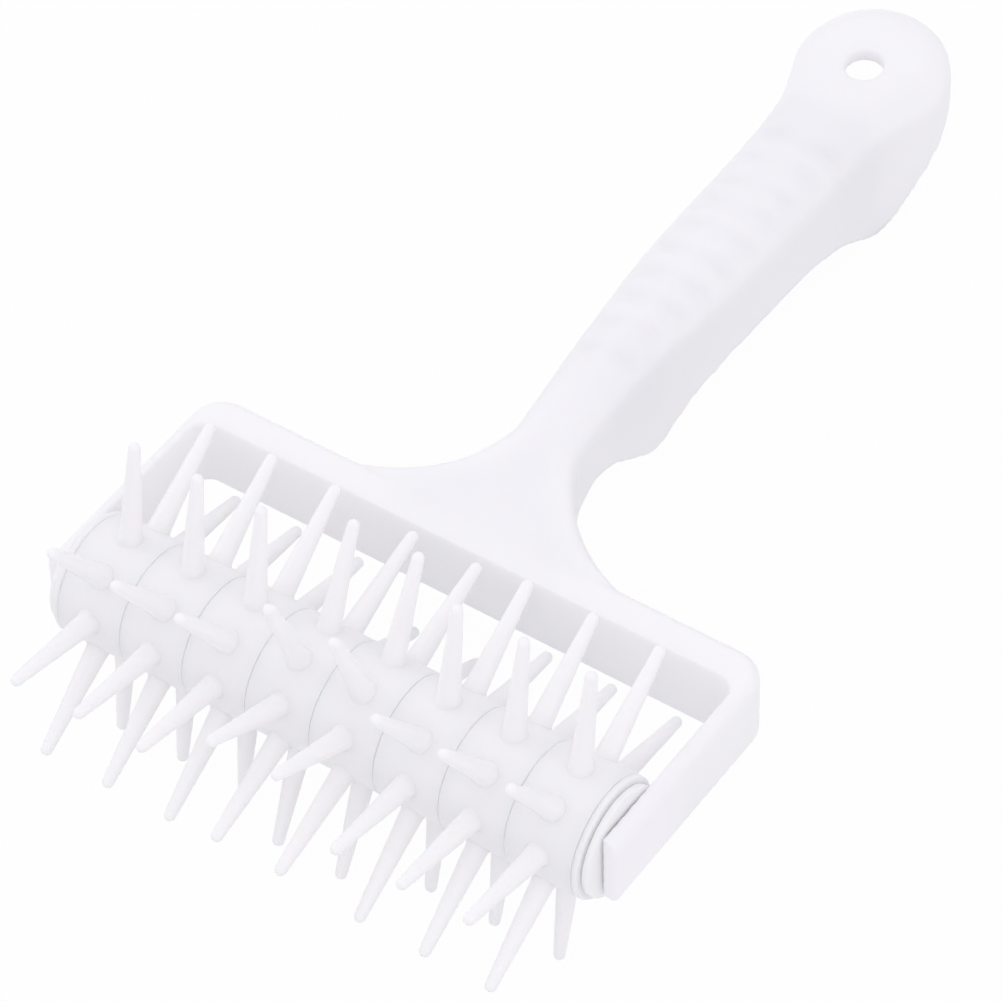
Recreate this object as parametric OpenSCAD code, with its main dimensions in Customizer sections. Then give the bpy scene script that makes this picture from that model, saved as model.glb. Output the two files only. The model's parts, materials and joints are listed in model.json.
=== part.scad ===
// Dough docker: a one-piece moulded yoke and handle that carries a roller of eight pin rings.
// Every module is drawn about the roller axle (X along the axle, +Y to the handle, +Z up).
// at_rest() then stands the whole tool on its lowest pins and the heel of the handle.

/* [Roller] */
// Distance from one pin ring to the next along the axle
ring_pitch = 12.5; // [12:0.05:12.6]
// Radius of a ring's barrel, from which the pins stand out
barrel_r = 10.7; // [9.5:0.1:11.5]
// Radius at the tips of the pins
tip_r = 30.2; // [27:0.1:30.5]
// Pins around one ring
pins_per_ring = 8; // [6:1:9]
// Diameter of a pin where it leaves the barrel
pin_root_d = 3.9; // [3:0.1:4.4]
// Diameter of a pin just under its round tip
pin_tip_d = 2; // [1.4:0.1:2.6]
// Size of the hexagonal shaft across its flats
shaft_flats = 8; // [7:0.1:9]
// Angle of the first row of pins above the plane of the yoke, as photographed
pin_phase = -9.7; // [-20:0.1:20]

/* [Yoke] */
// Width over the two arms
yoke_w = 110.8; // [110.4:0.1:114]
// Thickness of an arm
arm_t = 2.6; // [2.6:0.1:2.9]
// Height of the arms and the crossbar
yoke_h = 14; // [12:0.5:16]
// Distance from the axle to the front face of the crossbar
bar_front = 32.3; // [31.5:0.1:34]
// Thickness of the crossbar, front to back
bar_t = 7.2; // [6:0.1:8]
// Radius of the journals that turn in the arms
journal_r = 2.6; // [2:0.1:3]

/* [Handle] */
// Distance from the axle to the centre of the hanging hole
hole_y = 155; // [152:0.2:158]
// Radius of the hanging hole
hole_r = 3.4; // [3:0.1:4.5]
// Half the width of the round end of the handle
paddle_r = 14.2; // [13.8:0.1:15]
// Length of the round end past its widest place
paddle_end = 13.6; // [12:0.1:15]
// Wall thickness of the handle's sides
side_wall = 2.4; // [1.8:0.1:2.8]
// Thickness of the handle's top wall, seen in the hanging hole
top_wall = 2.9; // [2.2:0.1:3.2]
// Depth of the finger grooves across the top of the grip
groove_depth = 0.8; // [0:0.1:1]
// Distance from one finger groove to the next
groove_pitch = 6.6; // [6:0.1:6.8]

/* [Hidden] */

white = "#F2F2F6";
white_inner = "#E8E7EC";

ring_count = 8;
// Step of the hexagon on which a ring was slid home; two rings went on one step round
key_slot = [0, 0, 0, 1, 1, 0, 0, 0];
key_step = 60;
pin_step = 360 / pins_per_ring;

yoke_half = yoke_w / 2;
arm_inner = yoke_half - arm_t;
arm_front = -6;
corner_outer_r = 6;
corner_inner_r = 3;
corner_y = bar_front + bar_t - corner_outer_r;
top_edge_r = 2.5;
bar_back = bar_front + bar_t;
round_fn = 96;

// Clearances of the running and sliding fits
journal_gap = 0.06;
key_gap = 0.05;
socket_depth = 1.7;
end_float = 0.3;

// Ring details
ring_face_gap = 0.02;
barrel_w = ring_pitch - 0.3;
barrel_chamfer = 0.25;
ring_core_r = 10;
cap_groove_r = 8.4;
root_cone_h = 1.6;
root_cone_r = pin_root_d / 2 + 0.75;

// Handle outline, each line a list of [distance from the axle, value]
top_line = [[30, 7], [40, 7.1], [47, 8.6], [55, 12], [64, 14.7], [76, 17.3], [92, 17.9], [110, 17.9],
            [130, 17.7], [146, 18.4], [156, 19.2], [172, 21.3]];
under_line = [[30, -7], [43, -6.9], [50, -6.6], [54, -5.2], [58, -2], [62, 0.2], [68, -1], [74, -4.6],
              [79, -6.5], [84, -4.2], [90, -1.4], [98, 0], [110, 0.3], [124, -0.5], [133, -2.3], [139, -5.4],
              [144, -7.4], [148, -5.6], [153, 0.2], [158, 6], [164, 11], [171, 14.6]];
width_line = [[57.3, 6.2], [64, 6.3], [72, 6.7], [82, 7.4], [95, 8.7], [110, 9.3], [125, 9.4], [138, 9.7],
              [144, 10.3], [148.5, 11.6], [152, 12.9], [155, 13.9], [157, 14.2]];
// Rounding of the top edge, across and down
round_across = [[30, 3], [46, 3], [58, 5.2], [75, 7.2], [100, 8.6], [140, 8.8], [155, 10], [172, 6.5]];
round_down = [[30, 3], [46, 3], [58, 3.6], [75, 4.7], [100, 5.2], [140, 4.8], [155, 5], [172, 3.2]];

// Flare between the crossbar and the neck: a quarter of a superellipse
flare_x = 28.5;
flare_y = 57.3;
flare_a = flare_x - width_line[0][1];
flare_b = flare_y - bar_back + 0.05;
flare_power = 1.55;
paddle_y = 157;

// The side walls lean out this far for each millimetre below the top
draft = 0.012;

// Finger grooves
groove_first = 75;
groove_count = 10;

// Cavity under the handle
cavity_front = bar_front + 4;
cavity_half_max = 18;
cavity_drop = 6;
rib_t = 1.8;
rib_lift = 3;
rib_places = [50, 66, 82, 98, 114, 130, 145];
long_rib_x = 6;
long_rib_t = 1.6;
long_ribs = [34, 50];

// Stations of the sweep along the handle
flare_stations = [for (a = [6 : 6 : 84]) flare_y - flare_b * cos(a)];
grip_stations = [for (y = [flare_y : 1.1 : paddle_y]) y];
end_turns = [3 : 7 : 87];

function knot(line, y, i = 0) =
    (i >= len(line) - 2 || y < line[i + 1][0]) ? i : knot(line, y, i + 1);

function chord(line, i, j) = (line[j][1] - line[i][1]) / (line[j][0] - line[i][0]);

function tangent(line, i) =
    i == 0 ? chord(line, 0, 1)
    : i == len(line) - 1 ? chord(line, i - 1, i)
    : chord(line, i - 1, i + 1);

// Smooth curve through the points of a line
function track(line, y) =
    let (i = knot(line, y))
    let (span = line[i + 1][0] - line[i][0])
    let (u = (y - line[i][0]) / span)
    let (a = line[i][1], b = line[i + 1][1])
    let (p = tangent(line, i) * span, q = tangent(line, i + 1) * span)
    a * (2 * u * u * u - 3 * u * u + 1) + p * (u * u * u - 2 * u * u + u)
    + b * (3 * u * u - 2 * u * u * u) + q * (u * u * u - u * u);

// Depth of the nearest finger groove at a distance along the handle
function groove(y) =
    let (k = (y - groove_first) / groove_pitch)
    (k < -0.5 || k > groove_count - 0.5) ? 0
    : groove_depth * (0.5 + 0.5 * cos(360 * (k - round(k))));

function flare_half(y) =
    let (u = min(1, max(0, (flare_y - y) / flare_b)))
    flare_x - flare_a * pow(1 - pow(u, flare_power), 1 / flare_power);

function end_half(y, wide, long) =
    let (u = min(1, (y - paddle_y) / long))
    wide * sqrt(1 - u * u);

function half_width(y) =
    y < flare_y ? flare_half(y)
    : y < paddle_y ? track(width_line, y)
    : end_half(y, paddle_r, paddle_end);

// Share of the outline's direction that faces sideways: 1 along the grip, near 0 where it faces back
function sideways(y) =
    let (step = 0.02)
    let (slope = (half_width(y + step) - half_width(y - step)) / (2 * step))
    1 / sqrt(1 + slope * slope);

// How far in from the outline a point lies, up to the given reach
function inset(x, y, half, reach) =
    y <= paddle_y ? min(reach, (half - abs(x)) * sideways(y))
    : let (u = x / paddle_r, v = (y - paddle_y) / paddle_end)
      let (slope = 2 * sqrt(pow(u / paddle_r, 2) + pow(v / paddle_end, 2)))
      min(reach, max(0, 1 - u * u - v * v) / max(slope, 0.001));

// Height of the upper skin at one point, rounded down towards the outline
function skin_z(x, y, half) =
    let (across = track(round_across, y), down = track(round_down, y))
    let (u = 1 - inset(x, y, half, across) / across)
    track(top_line, y) - groove(y) * (0.3 + 1.1 * u) * (1 - u * u * u) - down * (1 - sqrt(max(0, 1 - u * u)));

// Distances across one section, from its side to its middle
function spread(y, half) =
    let (reach = min(track(round_across, y) / max(0.05, sideways(y)), 0.92 * half))
    [for (k = [0 : 8]) half - reach * (1 - cos(90 * k / 8))];

function outer_section(y) =
    let (half = half_width(y), bottom = track(under_line, y))
    let (lean = draft * (track(top_line, y) - bottom) * min(1, max(0, (y - bar_back + 1) / 4)))
    let (across = spread(y, half), n = len(across) - 1)
    concat(
        [[-half - lean, y, bottom]],
        [for (k = [0 : n]) [-across[k], y, skin_z(across[k], y, half)]],
        [for (k = [n : -1 : 0]) [across[k], y, skin_z(across[k], y, half)]],
        [[half + lean, y, bottom]]);

function inner_section(y, half) =
    let (ceiling = track(top_line, y) - top_wall, bend = min(3, 0.5 * half))
    let (floor = track(under_line, y) - cavity_drop)
    concat(
        [[-half, y, floor]],
        [for (k = [0 : 4]) [-half + bend * (1 - cos(22.5 * k)), y, ceiling - bend * (1 - sin(22.5 * k))]],
        [for (k = [4 : -1 : 0]) [half - bend * (1 - cos(22.5 * k)), y, ceiling - bend * (1 - sin(22.5 * k))]],
        [[half, y, floor]]);

module sweep(sections) {
    m = len(sections[0]);
    last = len(sections) - 1;
    sides = [for (s = [0 : last - 1], k = [0 : m - 1])
        let (a = s * m + k, b = s * m + (k + 1) % m)
        each [[a, a + m, b], [b, a + m, b + m]]];
    polyhedron(points = [for (s = sections) each s],
        faces = concat([[for (k = [0 : m - 1]) k]], sides, [[for (k = [m - 1 : -1 : 0]) last * m + k]]));
}

// Stands the tool as it lies on a table: on its lowest pins and the heel of the handle
rest_tilt = 8.89;
tip_round = pin_tip_d / 2;
pin_angles = [for (s = [0, 1], n = [0 : pins_per_ring - 1]) pin_phase - s * key_step + n * pin_step - rest_tilt];
axle_z = max([for (a = pin_angles) tip_round - (tip_r - tip_round) * sin(a)]);
front_reach = max([for (a = pin_angles) tip_round - (tip_r - tip_round) * cos(a)]);
end_y = paddle_y + paddle_end;
rear_reach = end_y * cos(rest_tilt) + (track(top_line, end_y) - track(round_down, end_y)) * sin(rest_tilt);
axle_y = (front_reach - rear_reach) / 2;

module at_rest() {
    translate([0, axle_y, axle_z]) rotate([-rest_tilt, 0, 0]) children();
}

// Upright section of the frame with its outer top edge rounded; x runs outwards
module rim_profile(depth) {
    translate([0, -yoke_h / 2]) square([depth, yoke_h - top_edge_r]);
    translate([0, -yoke_h / 2]) square([depth - top_edge_r, yoke_h]);
    intersection() {
        translate([depth - top_edge_r, yoke_h / 2 - top_edge_r]) circle(r = top_edge_r, $fn = round_fn);
        translate([0, -yoke_h / 2]) square([depth, yoke_h]);
    }
}

module arm() {
    translate([arm_inner, corner_y, 0]) rotate([90, 0, 0])
        linear_extrude(corner_y - arm_front) rim_profile(arm_t);
}

module outer_corner() {
    translate([yoke_half - corner_outer_r, corner_y, 0])
        rotate_extrude(angle = 90, $fn = round_fn) rim_profile(corner_outer_r);
}

// Fills the corner between arm and crossbar and rounds the window's corner
module inner_corner() {
    translate([0, 0, -yoke_h / 2]) linear_extrude(yoke_h) {
        translate([yoke_half - corner_outer_r - 0.1, bar_front])
            square([corner_outer_r - top_edge_r + 0.1, corner_y - bar_front + 0.1]);
        translate([arm_inner - corner_inner_r, bar_front - corner_inner_r]) difference() {
            square(corner_inner_r + 0.05);
            circle(r = corner_inner_r, $fn = round_fn);
        }
    }
}

module crossbar() {
    translate([corner_outer_r - yoke_half, bar_front, 0]) rotate([90, 0, 90])
        linear_extrude(2 * (yoke_half - corner_outer_r)) rim_profile(bar_t);
}

module frame_walls() {
    crossbar();
    for (side = [0, 1]) mirror([side, 0, 0]) {
        arm();
        outer_corner();
        inner_corner();
    }
}

module journal_socket(side) {
    translate([side * (arm_inner - 1), 0, 0]) rotate([0, side * 90, 0])
        cylinder(r = journal_r + journal_gap, h = socket_depth + 1, $fn = round_fn);
}

module handle_skin() {
    sweep(concat(
        [outer_section(bar_back - 4)],
        [for (y = flare_stations) outer_section(y)],
        [for (y = grip_stations) outer_section(y)],
        [for (a = end_turns) outer_section(paddle_y + paddle_end * sin(a))]));
}

module handle_cavity() {
    wide = paddle_r - side_wall;
    long = paddle_end - side_wall;
    sweep(concat(
        [inner_section(cavity_front, cavity_half_max)],
        [for (y = flare_stations) if (y > cavity_front + 4)
            inner_section(y, min(cavity_half_max, half_width(y) - side_wall))],
        [for (y = grip_stations) inner_section(y, half_width(y) - side_wall)],
        [for (a = [3 : 9 : 75]) inner_section(paddle_y + long * sin(a), wide * cos(a))]));
}

module cavity_ribs() {
    for (y = rib_places) {
        translate([-20, y - rib_t / 2, track(under_line, y) + rib_lift]) cube([40, rib_t, 30]);
    }
    for (side = [-1, 1]) {
        translate([side * long_rib_x - long_rib_t / 2, long_ribs[0], track(under_line, 43) + rib_lift])
            cube([long_rib_t, long_ribs[1] - long_ribs[0], 30]);
    }
}

module yoke_handle() {
    color(white) at_rest() difference() {
        union() {
            frame_walls();
            handle_skin();
        }
        difference() {
            handle_cavity();
            cavity_ribs();
        }
        journal_socket(-1);
        journal_socket(1);
        translate([0, hole_y, 0]) cylinder(r = hole_r, h = 40, $fn = round_fn);
    }
}

module hex_prism(flats, length) {
    rotate([0, 90, 0]) cylinder(r = flats / sqrt(3), h = length, center = true, $fn = 6);
}

module roller_shaft() {
    hex_half = arm_inner - end_float;
    journal_half = arm_inner + socket_depth - end_float / 2;
    color(white_inner) at_rest() rotate([pin_phase, 0, 0]) {
        hex_prism(shaft_flats, 2 * hex_half);
        rotate([0, 90, 0]) cylinder(r = journal_r, h = 2 * journal_half, center = true, $fn = round_fn);
    }
}

module key_hole(length) {
    hex_prism(shaft_flats + 2 * key_gap, length);
}

module end_cap(side) {
    start = ring_count * ring_pitch / 2 + ring_face_gap;
    end = arm_inner - end_float;
    color(white) at_rest() rotate([pin_phase, 0, 0]) difference() {
        rotate([0, side * 90, 0]) rotate_extrude($fn = round_fn) polygon([
            [0, start], [barrel_r - 0.3, start], [barrel_r, start + 0.3], [barrel_r, start + 0.95],
            [cap_groove_r, start + 0.95], [cap_groove_r, start + 1.35], [barrel_r - 1, start + 1.35],
            [barrel_r - 1, end - 0.3], [barrel_r - 1.3, end], [0, end]]);
        key_hole(3 * yoke_w);
    }
}

module pin() {
    shank = tip_r - tip_round - barrel_r;
    translate([0, 0, barrel_r]) cylinder(r1 = pin_root_d / 2, r2 = tip_round, h = shank, $fn = 32);
    translate([0, 0, tip_r - tip_round]) sphere(r = tip_round, $fn = 32);
    translate([0, 0, barrel_r - 1.2]) cylinder(r1 = root_cone_r + 0.4, r2 = pin_root_d / 2 - 0.06,
        h = 1.2 + root_cone_h, $fn = 32);
}

module pin_ring(number) {
    centre = (number - (ring_count + 1) / 2) * ring_pitch;
    turn = pin_phase - key_slot[number - 1] * key_step;
    half = barrel_w / 2;
    color(white) at_rest() translate([centre, 0, 0]) rotate([turn, 0, 0]) difference() {
        union() {
            rotate([0, 90, 0]) rotate_extrude($fn = round_fn) polygon([
                [0, -half], [barrel_r - barrel_chamfer, -half], [barrel_r, barrel_chamfer - half],
                [barrel_r, half - barrel_chamfer], [barrel_r - barrel_chamfer, half], [0, half]]);
            rotate([0, 90, 0]) cylinder(r = ring_core_r, h = ring_pitch - 2 * ring_face_gap, center = true,
                $fn = round_fn);
            for (n = [0 : pins_per_ring - 1]) {
                rotate([n * pin_step - 90, 0, 0]) pin();
            }
        }
        key_hole(ring_pitch + 2);
    }
}

yoke_handle();
roller_shaft();
end_cap(-1);  // end_cap_left
end_cap(1);  // end_cap_right
pin_ring(1);  // pin_ring_1
pin_ring(2);  // pin_ring_2
pin_ring(3);  // pin_ring_3
pin_ring(4);  // pin_ring_4
pin_ring(5);  // pin_ring_5
pin_ring(6);  // pin_ring_6
pin_ring(7);  // pin_ring_7
pin_ring(8);  // pin_ring_8
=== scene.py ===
import json
import math

import bmesh
import bpy
from mathutils import Euler, Matrix, Vector


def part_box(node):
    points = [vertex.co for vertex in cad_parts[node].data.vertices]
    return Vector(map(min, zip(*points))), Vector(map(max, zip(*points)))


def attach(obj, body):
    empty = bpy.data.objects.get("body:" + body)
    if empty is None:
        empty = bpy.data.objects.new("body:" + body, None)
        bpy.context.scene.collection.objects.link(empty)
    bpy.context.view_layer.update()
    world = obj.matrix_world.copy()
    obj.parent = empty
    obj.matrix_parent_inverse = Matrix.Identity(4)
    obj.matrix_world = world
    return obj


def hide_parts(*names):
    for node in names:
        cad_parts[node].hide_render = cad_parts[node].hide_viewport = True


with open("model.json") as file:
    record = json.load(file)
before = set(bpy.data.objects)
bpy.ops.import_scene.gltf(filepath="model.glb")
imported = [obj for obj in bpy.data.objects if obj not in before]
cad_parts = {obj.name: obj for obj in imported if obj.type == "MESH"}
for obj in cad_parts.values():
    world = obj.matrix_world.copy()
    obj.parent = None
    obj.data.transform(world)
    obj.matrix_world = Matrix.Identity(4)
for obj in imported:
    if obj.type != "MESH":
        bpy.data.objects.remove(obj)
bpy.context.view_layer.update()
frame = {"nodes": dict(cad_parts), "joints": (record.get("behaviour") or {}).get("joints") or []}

# Sizes of the docker in millimetres, as it is moulded
MM = 0.001
BARREL_R = 10.7
BARREL_HALF = 6.17
CORE_R = 10.35
RING_HALF = 6.23
RING_EDGE_R = 0.2
CAP_RIM_W = 1.0
CAP_GROOVE_W = 0.4
CAP_GROOVE_R = 8.4
CAP_DISC_STEP = 1.0
BORE_MOUTH_R = 6.5
TIP_R = 30.2
PIN_ROOT_D = 3.9
PIN_TIP_D = 2.0
PIN_FILLET = 0.9
PIN_SINK = 0.55
PINS_PER_RING = 8
SHAFT_FLATS = 8.0
KEY_GAP = 0.05
RING_NUMBERS = range(1, 9)

# Angles of the roller as it lies, in degrees from +Y towards +Z
PIN_PHASE = -9.7
REST_TILT = 8.89
KEY_STEP = 60.0
TURNED_RINGS = (4, 5)

# Share of the light that walks through the plastic below its skin
MILKINESS = 0.8
# Sizes of the flow clouds, the sink waviness and the mould's grain, in millimetres
CLOUD_SIZE = 25
WAVE_SIZE = 9
GRAIN_SIZE = 0.5

ROUND_SIDES = 96
PIN_SIDES = 28
# The yoke's softened copy: grid in millimetres, smoothing passes and most triangles
YOKE_GRID = 0.42
YOKE_PASSES = 6
YOKE_TRIANGLES = 180000

# Light levels: the fill comes from all round, and four weak lamps model the shapes
FLOOR_GLOW = 0.96
PAPER_COLOUR = "#F0F0F0"
FILL_COLOUR = "#FCFAFF"
FILL_LEVEL = 0.89
LIGHT_BOUNCES = 16

AXLE = Vector(frame["joints"][0]["pos_m"])


def linear(hex_colour):
    """sRGB hex to the linear colour that a shader socket holds."""
    channels = [int(hex_colour[i:i + 2], 16) / 255 for i in (1, 3, 5)]
    return [c / 12.92 if c <= 0.04045 else ((c + 0.055) / 1.055) ** 2.4 for c in channels] + [1.0]


def add(tree, kind, values=None, links=None, **settings):
    """Adds a node: settings on the node, values on its input sockets, links from other nodes' outputs."""
    node = tree.nodes.new(kind)
    for name, value in settings.items():
        setattr(node, name, value)
    for socket, value in (values or {}).items():
        node.inputs[socket].default_value = value
    for socket, source in (links or {}).items():
        tree.links.new(source, node.inputs[socket])
    return node


def new_material(name):
    """An empty node material."""
    material = bpy.data.materials.new(name)
    material.use_nodes = True
    material.node_tree.nodes.clear()
    return material


def satin_polypropylene(name, base, shade, roughness, depth, dense_r=None):
    """White polypropylene from a polished mould.

    The eye gets a soft satin sheen, a milky depth at thin edges, and a very slight
    waviness where the thick parts sank as they cooled. Within dense_r of the axle no light
    walks through the skin, which is thin there and would show the socket behind it as a dark spot.
    """
    material = new_material(name)
    tree = material.node_tree
    place = add(tree, "ShaderNodeTexCoord").outputs["Object"]

    # Flow clouds: barely seen changes of tint
    clouds = add(tree, "ShaderNodeTexNoise", {"Scale": 1 / (CLOUD_SIZE * MM), "Detail": 2.0},
                 {"Vector": place})
    tint = add(tree, "ShaderNodeMix", data_type="RGBA", links={"Factor": clouds.outputs["Fac"]})
    tint.inputs["A"].default_value = linear(base)
    tint.inputs["B"].default_value = linear(shade)

    # Sink waviness, and the mould's fine grain, coarse enough to show at all
    waves = add(tree, "ShaderNodeTexNoise", {"Scale": 1 / (WAVE_SIZE * MM), "Detail": 1.0},
                {"Vector": place})
    grain = add(tree, "ShaderNodeTexNoise", {"Scale": 1 / (GRAIN_SIZE * MM), "Detail": 2.0},
                {"Vector": place})
    wave_bump = add(tree, "ShaderNodeBump", {"Strength": 0.25, "Distance": 0.15 * MM},
                    {"Height": waves.outputs["Fac"]})
    grain_bump = add(tree, "ShaderNodeBump", {"Strength": 0.12, "Distance": 0.03 * MM},
                     {"Height": grain.outputs["Fac"], "Normal": wave_bump.outputs["Normal"]})
    gloss = add(tree, "ShaderNodeMapRange",
                {"To Min": roughness - 0.04, "To Max": roughness + 0.04}, {"Value": grain.outputs["Fac"]})

    plastic = add(tree, "ShaderNodeBsdfPrincipled",
                  {"IOR": 1.49, "Subsurface Weight": MILKINESS, "Subsurface Radius": (1.0, 0.9, 0.85),
                   "Subsurface Scale": depth * MM},
                  {"Base Color": tint.outputs["Result"], "Roughness": gloss.outputs["Result"],
                   "Normal": grain_bump.outputs["Normal"]})
    if dense_r:
        flat = add(tree, "ShaderNodeVectorMath", {1: (0, 1, 1)}, {0: place}, operation="MULTIPLY")
        away = add(tree, "ShaderNodeVectorMath", {1: (0, AXLE.y, AXLE.z)}, {0: flat.outputs["Vector"]},
                   operation="DISTANCE")
        milky = add(tree, "ShaderNodeMapRange", {"From Min": dense_r * MM, "From Max": 2 * dense_r * MM,
                                                 "To Max": MILKINESS}, {"Value": away.outputs["Value"]})
        tree.links.new(milky.outputs["Result"], plastic.inputs["Subsurface Weight"])
    add(tree, "ShaderNodeOutputMaterial", links={"Surface": plastic.outputs["BSDF"]})
    return material


yoke_white = satin_polypropylene("satin white polypropylene, yoke", "#FCFBFE", "#FAFAFC", 0.42, 6.0,
                                 dense_r=8)
roller_white = satin_polypropylene("satin white polypropylene, roller", "#FBFBFB", "#F9F9F9", 0.38, 1.6)


def finished(name, mesh, body, nodes, material, sharp_angle=35):
    """Makes a mesh into a piece that stands for CAD nodes and rides on their body."""
    mesh.name = name
    piece = bpy.data.objects.new(name, mesh)
    bpy.context.scene.collection.objects.link(piece)
    mesh.materials.clear()
    mesh.materials.append(material)
    mesh.shade_smooth()
    mesh.set_sharp_from_angle(angle=math.radians(sharp_angle))
    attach(piece, body)
    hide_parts(*nodes)
    return piece


def hexagon_radius(angle, flats):
    """Distance from the centre to a hexagon's side at an angle, flats across."""
    turn = (angle + math.pi / 6) % (math.pi / 3) - math.pi / 6
    return flats / 2 / math.cos(turn)


def turned(loops, sides, closed):
    """A body turned about the X axis from (x, radius) loops in millimetres.

    A radius given as ("hex", flats) makes that loop a hexagon. A closed list joins its last
    loop to its first; an open one is capped at both ends.
    """
    shape = bmesh.new()
    rows = []
    for x, radius in loops:
        row = []
        for k in range(sides):
            angle = 2 * math.pi * k / sides
            r = hexagon_radius(angle, radius[1]) if isinstance(radius, tuple) else radius
            row.append(shape.verts.new((x * MM, r * math.cos(angle) * MM, r * math.sin(angle) * MM)))
        rows.append(row)
    pairs = list(zip(rows, rows[1:])) + ([(rows[-1], rows[0])] if closed else [])
    for here, there in pairs:
        for k in range(sides):
            j = (k + 1) % sides
            shape.faces.new((here[k], here[j], there[j], there[k]))
    if not closed:
        shape.faces.new(rows[0])
        shape.faces.new(rows[-1])
    bmesh.ops.recalc_face_normals(shape, faces=shape.faces)
    return shape


def rounded(start, corner, end, radius, steps=5):
    """Points that round one corner of a profile, from the line start-corner to the line corner-end."""
    corner, start, end = Vector(corner), Vector(start), Vector(end)
    a = (start - corner).normalized()
    b = (end - corner).normalized()
    half = a.angle(b) / 2
    reach = radius / math.tan(half)
    centre = corner + (a + b).normalized() * radius / math.sin(half)
    first = corner + a * reach - centre
    last = corner + b * reach - centre
    sweep = first.angle(last)
    points = []
    for k in range(steps + 1):
        t = k / steps
        spot = (first * math.sin((1 - t) * sweep) + last * math.sin(t * sweep)) / math.sin(sweep)
        points.append(tuple(centre + spot))
    return points


def profile(corners, radii):
    """A profile with each corner rounded by its own radius; 0 leaves it sharp."""
    count = len(corners)
    points = []
    for k, (corner, radius) in enumerate(zip(corners, radii)):
        if radius:
            points += rounded(corners[k - 1], corner, corners[(k + 1) % count], radius)
        else:
            points.append(corner)
    return points


def barrel():
    """One ring's barrel with a narrow step at each face, bored for the hexagonal shaft, about the origin."""
    bore = ("hex", SHAFT_FLATS + 2 * KEY_GAP)
    step = [(-RING_HALF, BORE_MOUTH_R), (-RING_HALF, CORE_R), (-BARREL_HALF, CORE_R),
            (-BARREL_HALF, BARREL_R), (BARREL_HALF, BARREL_R), (BARREL_HALF, CORE_R),
            (RING_HALF, CORE_R), (RING_HALF, BORE_MOUTH_R)]
    loops = profile(step, [0, 0.02, 0.02, RING_EDGE_R, RING_EDGE_R, 0.02, 0.02, 0])
    loops += [(RING_HALF, bore), (0.0, bore), (-RING_HALF, bore)]
    return turned(loops, ROUND_SIDES, True)


def pin():
    """One pin along +Z: a fillet where it leaves the barrel, a straight taper and a round tip."""
    tip = PIN_TIP_D / 2
    root = PIN_ROOT_D / 2
    base = BARREL_R - PIN_SINK
    crown = TIP_R - tip

    def radius_at(z):
        return root + (tip - root) * (z - BARREL_R) / (crown - BARREL_R)

    loops = [(base - 0.4, root + PIN_FILLET)]
    for k in range(7):
        turn = math.radians(90 * k / 6)
        z = base + (PIN_FILLET + PIN_SINK) * (1 - math.cos(turn))
        loops.append((z, radius_at(z) + PIN_FILLET * (1 - math.sin(turn))))
    loops += [(z, radius_at(z)) for z in (BARREL_R + 4, BARREL_R + 10, BARREL_R + 15)]
    loops += [(crown + tip * math.sin(math.radians(a)), tip * math.cos(math.radians(a)))
              for a in (0, 15, 30, 45, 60, 75, 86)]
    shape = turned(loops, PIN_SIDES, False)
    bmesh.ops.rotate(shape, matrix=Matrix.Rotation(-math.pi / 2, 3, "Y"), verts=shape.verts)
    return shape


def as_mesh(shape, name):
    """Turns a working shape into a mesh and frees the shape."""
    mesh = bpy.data.meshes.new(name)
    shape.to_mesh(mesh)
    shape.free()
    return mesh


def pin_crown_tree():
    """Geometry Nodes: sets one pin round the axle at even steps, from a first angle."""
    tree = bpy.data.node_groups.new("pins round a ring", "GeometryNodeTree")
    face = tree.interface
    face.new_socket("Pin", in_out="INPUT", socket_type="NodeSocketGeometry")
    face.new_socket("Pin Count", in_out="INPUT", socket_type="NodeSocketInt")
    face.new_socket("First Angle", in_out="INPUT", socket_type="NodeSocketFloat")
    face.new_socket("Ring Centre", in_out="INPUT", socket_type="NodeSocketVector")
    face.new_socket("Plastic", in_out="INPUT", socket_type="NodeSocketMaterial")
    face.new_socket("Pins", in_out="OUTPUT", socket_type="NodeSocketGeometry")
    given = add(tree, "NodeGroupInput").outputs
    step = add(tree, "ShaderNodeMath", {0: math.tau}, {1: given["Pin Count"]}, operation="DIVIDE")
    number = add(tree, "GeometryNodeInputIndex")
    turn = add(tree, "ShaderNodeMath", links={0: step.outputs[0], 1: number.outputs[0],
                                              2: given["First Angle"]}, operation="MULTIPLY_ADD")
    spin = add(tree, "ShaderNodeCombineXYZ", links={"X": turn.outputs[0]})
    spots = add(tree, "GeometryNodePoints", links={"Count": given["Pin Count"],
                                                   "Position": given["Ring Centre"]})
    placed = add(tree, "GeometryNodeInstanceOnPoints",
                 links={"Points": spots.outputs[0], "Instance": given["Pin"], "Rotation": spin.outputs[0]})
    real = add(tree, "GeometryNodeRealizeInstances", links={"Geometry": placed.outputs[0]})
    coated = add(tree, "GeometryNodeSetMaterial", links={"Geometry": real.outputs[0],
                                                         "Material": given["Plastic"]})
    add(tree, "NodeGroupOutput", links={"Pins": coated.outputs[0]})
    return tree


def grown(mesh, tree, values):
    """Runs a Geometry Nodes tree on a mesh and gives back the plain mesh that it makes."""
    carrier = bpy.data.objects.new("carrier", mesh)
    bpy.context.scene.collection.objects.link(carrier)
    modifier = carrier.modifiers.new("grow", "NODES")
    modifier.node_group = tree
    sockets = {item.name: item.identifier for item in tree.interface.items_tree if item.in_out == "INPUT"}
    for name, value in values.items():
        modifier[sockets[name]] = value
    bpy.context.view_layer.update()
    evaluated = carrier.evaluated_get(bpy.context.evaluated_depsgraph_get())
    result = bpy.data.meshes.new_from_object(evaluated)
    bpy.data.objects.remove(carrier)
    return result


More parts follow.
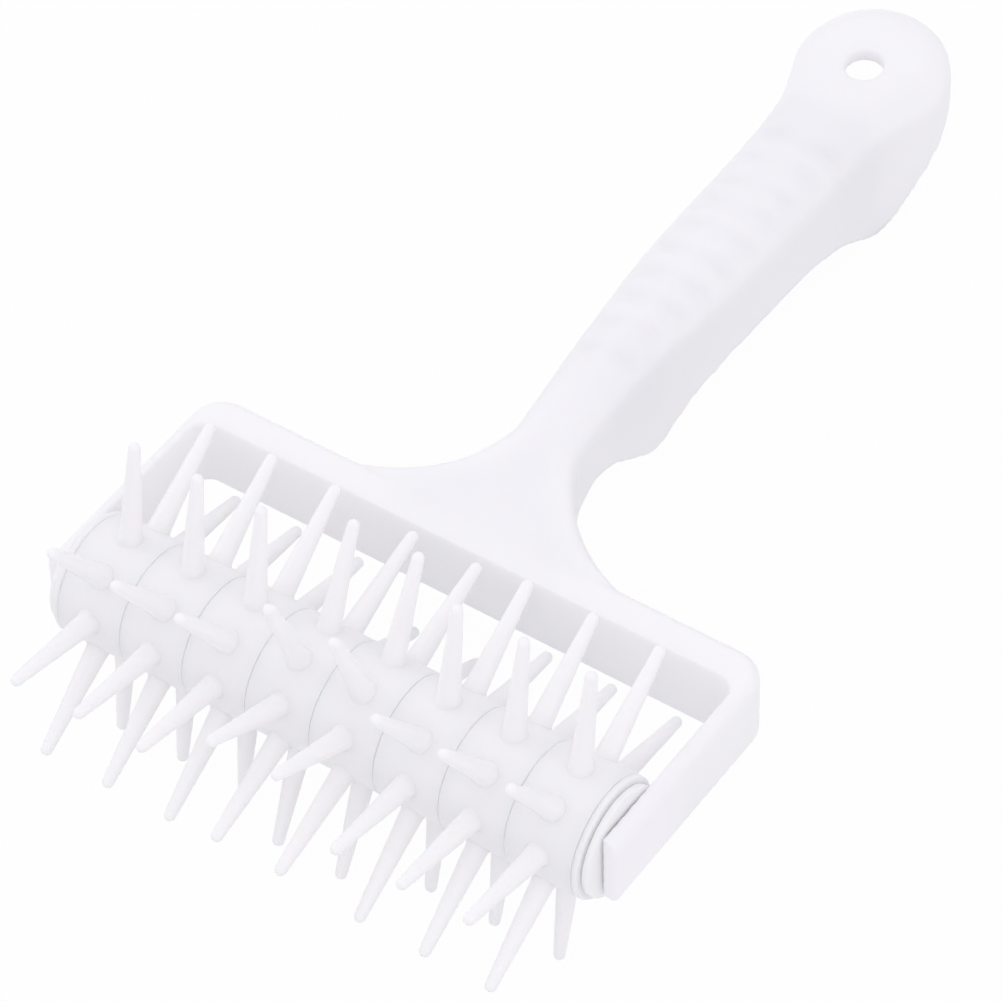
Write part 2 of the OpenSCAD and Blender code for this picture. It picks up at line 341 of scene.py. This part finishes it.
def united(body, addition):
    """Joins two overlapping closed meshes into one skin, so that no wall is left inside the plastic."""
    holders = [bpy.data.objects.new("carrier", mesh) for mesh in (body, addition)]
    for holder in holders:
        bpy.context.scene.collection.objects.link(holder)
    join = holders[0].modifiers.new("join", "BOOLEAN")
    join.operation = "UNION"
    join.solver = "EXACT"
    join.object = holders[1]
    bpy.context.view_layer.update()
    evaluated = holders[0].evaluated_get(bpy.context.evaluated_depsgraph_get())
    result = bpy.data.meshes.new_from_object(evaluated)
    for holder in holders:
        bpy.data.objects.remove(holder)
    return result


crown_tree = pin_crown_tree()
pin_mesh = as_mesh(pin(), "pin")


def pin_ring(number):
    """One ring as it is moulded: a barrel and its pins, at its place on the shaft."""
    low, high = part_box(f"pin_ring_{number}")
    centre = Vector(((low.x + high.x) / 2, AXLE.y, AXLE.z))
    turn = PIN_PHASE - REST_TILT - (KEY_STEP if number in TURNED_RINGS else 0)
    pins = grown(pin_mesh, crown_tree, {"Pin Count": PINS_PER_RING, "First Angle": math.radians(turn - 90),
                                        "Ring Centre": centre, "Plastic": roller_white})
    shape = barrel()
    bmesh.ops.rotate(shape, matrix=Matrix.Rotation(math.radians(turn), 3, "X"), verts=shape.verts)
    bmesh.ops.translate(shape, vec=centre, verts=shape.verts)
    mesh = united(as_mesh(shape, f"ring {number}"), pins)
    return finished(f"pin_ring_{number}_moulding", mesh, "roller",
                    [f"pin_ring_{number}"], roller_white)


for number in RING_NUMBERS:
    pin_ring(number)


def end_cap(side):
    """The thrust cap at one end of the roller: a rim, a deep groove and a smaller disc."""
    node = "end_cap_right" if side > 0 else "end_cap_left"
    low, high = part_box(node)
    start = min(abs(low.x), abs(high.x)) / MM
    end = max(abs(low.x), abs(high.x)) / MM
    bore = ("hex", SHAFT_FLATS + 2 * KEY_GAP)
    rim = start + CAP_RIM_W
    disc = rim + CAP_GROOVE_W
    disc_r = BARREL_R - CAP_DISC_STEP
    corners = [(start, BORE_MOUTH_R), (start, BARREL_R), (rim, BARREL_R), (rim, CAP_GROOVE_R),
               (disc, CAP_GROOVE_R), (disc, disc_r), (end, disc_r), (end, BORE_MOUTH_R)]
    loops = profile(corners, [0, 0.3, 0.3, 0.1, 0.1, 0.15, 0.3, 0]) + [(end, bore), (start, bore)]
    shape = turned([(side * x, r) for x, r in loops], ROUND_SIDES, True)
    bmesh.ops.rotate(shape, matrix=Matrix.Rotation(math.radians(PIN_PHASE - REST_TILT), 3, "X"),
                     verts=shape.verts)
    bmesh.ops.translate(shape, vec=(0, AXLE.y, AXLE.z), verts=shape.verts)
    mesh = as_mesh(shape, node)
    return finished(f"{node}_moulding", mesh, "roller", [node], roller_white)


for side in (-1, 1):
    end_cap(side)


def softened(node, voxel, passes, most_triangles):
    """A copy of a CAD node with every edge and inside corner rounded, as a mould leaves them."""
    source = frame["nodes"][node]
    shape = bmesh.new()
    shape.from_mesh(source.data)
    bmesh.ops.remove_doubles(shape, verts=shape.verts, dist=0.002 * MM)
    carrier = bpy.data.objects.new("carrier", as_mesh(shape, node))
    bpy.context.scene.collection.objects.link(carrier)
    skin = carrier.modifiers.new("skin", "REMESH")
    skin.mode = "VOXEL"
    skin.voxel_size = voxel * MM
    ease = carrier.modifiers.new("ease", "SMOOTH")
    ease.factor = 0.5
    ease.iterations = passes
    thin = carrier.modifiers.new("thin", "DECIMATE")
    bpy.context.view_layer.update()
    evaluated = carrier.evaluated_get(bpy.context.evaluated_depsgraph_get())
    triangles = sum(len(face.vertices) - 2 for face in evaluated.data.polygons)
    thin.ratio = min(1.0, most_triangles / triangles)
    bpy.context.view_layer.update()
    evaluated = carrier.evaluated_get(bpy.context.evaluated_depsgraph_get())
    result = bpy.data.meshes.new_from_object(evaluated)
    bpy.data.objects.remove(carrier)
    return result


finished("yoke_handle_moulding", softened("yoke_handle", YOKE_GRID, YOKE_PASSES, YOKE_TRIANGLES), "frame",
         ["yoke_handle"], yoke_white, sharp_angle=60)

shaft = frame["nodes"]["roller_shaft"].data
shaft.materials.clear()
shaft.materials.append(roller_white)


def studio_floor():
    """White sweep: it shows as plain white and keeps a faint shadow."""
    shape = bmesh.new()
    bmesh.ops.create_grid(shape, x_segments=1, y_segments=1, size=3.0)
    floor = bpy.data.objects.new("floor", as_mesh(shape, "floor"))
    bpy.context.scene.collection.objects.link(floor)
    material = new_material("white paper sweep")
    tree = material.node_tree
    path = add(tree, "ShaderNodeLightPath").outputs
    seen = add(tree, "ShaderNodeMath", links={0: path["Is Camera Ray"], 1: path["Is Glossy Ray"]},
               operation="MAXIMUM")
    shown = add(tree, "ShaderNodeMath", links={0: seen.outputs[0], 1: path["Is Transmission Ray"]},
                operation="MAXIMUM")
    share = add(tree, "ShaderNodeMath", {1: FLOOR_GLOW}, {0: shown.outputs[0]}, operation="MULTIPLY")
    paper = add(tree, "ShaderNodeBsdfDiffuse", {"Color": linear(PAPER_COLOUR)})
    glow = add(tree, "ShaderNodeEmission", {"Color": (1, 1, 1, 1), "Strength": 1.0})
    mix = add(tree, "ShaderNodeMixShader", links={0: share.outputs[0], 1: paper.outputs[0],
                                                  2: glow.outputs[0]})
    add(tree, "ShaderNodeOutputMaterial", links={"Surface": mix.outputs[0]})
    floor.data.materials.append(material)


def studio_world():
    """Even white surroundings; where the camera sees them they are plain white."""
    world = bpy.data.worlds.new("studio")
    bpy.context.scene.world = world
    world.use_nodes = True
    tree = world.node_tree
    tree.nodes.clear()
    path = add(tree, "ShaderNodeLightPath").outputs
    fill = add(tree, "ShaderNodeBackground", {"Color": linear(FILL_COLOUR), "Strength": FILL_LEVEL})
    plain = add(tree, "ShaderNodeBackground", {"Color": (1, 1, 1, 1), "Strength": 1.0})
    mix = add(tree, "ShaderNodeMixShader", links={0: path["Is Camera Ray"], 1: fill.outputs[0],
                                                  2: plain.outputs[0]})
    add(tree, "ShaderNodeOutputWorld", links={"Surface": mix.outputs[0]})


def soft_box(name, place, target, size, watts, colour):
    """A square studio lamp that faces the docker."""
    lamp = bpy.data.lights.new(name, "AREA")
    lamp.shape = "SQUARE"
    lamp.size = size
    lamp.energy = watts
    lamp.color = linear(colour)[:3]
    holder = bpy.data.objects.new(name, lamp)
    holder.location = place
    holder.rotation_euler = (Vector(target) - Vector(place)).to_track_quat("-Z", "Y").to_euler()
    bpy.context.scene.collection.objects.link(holder)


studio_floor()
studio_world()
soft_box("back lamp", (-0.25, 0.45, 0.95), (0, 0, 0), 0.7, 0.40, "#FFFFFF")
soft_box("camera lamp", (0.38, -0.50, 0.80), (0, 0, 0), 0.5, 0.45, "#FFFFFF")
soft_box("left lamp", (-0.95, 0.0, 0.50), (0, 0, 0), 0.5, 0.9, "#FFFFFF")
soft_box("right lamp", (0.95, -0.10, 0.40), (0, 0, 0), 0.7, 0.45, "#FFFFFF")

# The camera stands right of and above the roller, looks down along the handle, and is rolled a little
CAMERA_PLACE = Vector((343.39, -403.16, 727.51)) * MM
CAMERA_HEADING = 42.36
CAMERA_PITCH = -53.82
CAMERA_ROLL = 10.32
CAMERA_LENS = 190.59
SENSOR = 36.0


def photographers_camera():
    """The camera that was fitted to the photographed pin tips."""
    camera = bpy.data.cameras.new("camera")
    camera.sensor_width = SENSOR
    camera.lens = CAMERA_LENS
    camera.clip_start = 0.05
    camera.clip_end = 20
    holder = bpy.data.objects.new("camera", camera)
    aim = Euler((math.radians(90 + CAMERA_PITCH), 0, math.radians(CAMERA_HEADING)), "XYZ").to_matrix()
    roll = Matrix.Rotation(math.radians(-CAMERA_ROLL), 3, "Z")
    holder.matrix_world = Matrix.Translation(CAMERA_PLACE) @ (aim @ roll).to_4x4()
    bpy.context.scene.collection.objects.link(holder)
    bpy.context.scene.camera = holder


photographers_camera()

bpy.context.scene.view_settings.view_transform = "Standard"
# White plastic hands light on many times between the roller and the crossbar
bpy.context.scene.cycles.max_bounces = LIGHT_BOUNCES
bpy.context.scene.cycles.diffuse_bounces = LIGHT_BOUNCES

bpy.context.view_layer.update()
